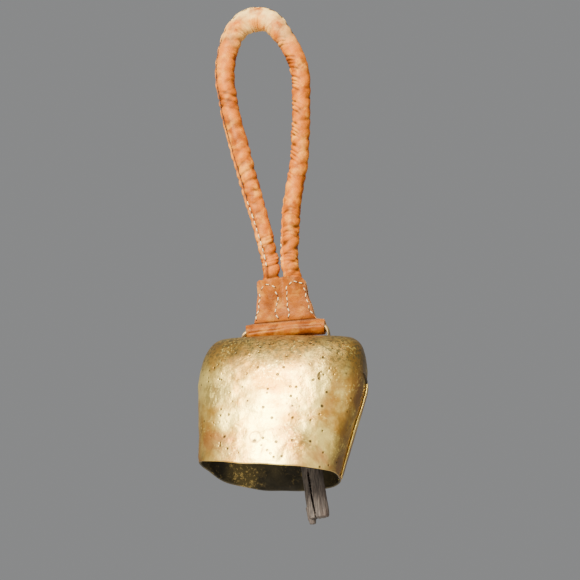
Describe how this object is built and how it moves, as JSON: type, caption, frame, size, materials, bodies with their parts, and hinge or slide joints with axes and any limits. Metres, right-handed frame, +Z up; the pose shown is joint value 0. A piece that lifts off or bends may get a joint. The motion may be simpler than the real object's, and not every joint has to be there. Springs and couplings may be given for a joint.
{
  "type": "handbell",
  "caption": "Oval folded-sheet bell with a brass coat, a wooden clapper inside and a stuffed, hand-stitched leather loop handle.",
  "frame": {"origin": "the hang point, inside the top of the handle's loop, where a peg or a hand carries it", "axes": "+Z up the bell's axis, X across the bell's wide side, +Y to the back, -Y to the front"},
  "size_m": [0.1274, 0.0843, 0.376],
  "materials": {
    "bell_brass": "thin brass braze coat over iron sheet, dull, stained and pitted",
    "braze": "rough run-in brass",
    "iron": "dark oxidised iron wire",
    "dark_leather": "greased, blackened lace",
    "clapper_wood": "weathered grey-brown hardwood with a drying split",
    "tan_leather": "oiled vegetable-tanned leather, creased",
    "rope_core": "twisted rope under the leather",
    "cream_thread": "waxed linen thread"
  },
  "bodies": {
    "handle": {"grip_cover": "tan_leather", "grip_core": "rope_core", "tab_leather": "tan_leather", "tab_thread_left": "cream_thread", "tab_thread_right": "cream_thread", "seam_thread": "cream_thread"},
    "bell": {"bell_sheet": "bell_brass", "seam_braze_left": "braze", "seam_braze_right": "braze", "crown_loop": "bell_brass", "foot_braze_left": "braze", "foot_braze_right": "braze", "clapper_staple": "iron", "staple_braze": "braze"},
    "thong": {"clapper_thong": "dark_leather"},
    "clapper": {"clapper": "clapper_wood"}
  },
  "joints": [
    {"name": "bell_swing", "type": "hinge", "parent": "handle", "child": "bell", "pos_m": [0.03576, 0.0405, -0.2272], "axis": [0.9945, 0, 0.1045], "range_deg": [-65, 80]},
    {"name": "thong_swing", "type": "hinge", "parent": "bell", "child": "thong", "pos_m": [0.04641, 0.0405, -0.24639], "axis": [0.9993, 0, 0.0384], "range_deg": [-17, 5]},
    {"name": "clapper_swing", "type": "hinge", "parent": "thong", "child": "clapper", "pos_m": [0.04709, 0.04235, -0.26398], "axis": [-0.004, 0.9945, 0.1045], "range_deg": [-2, 42]}
  ]
}
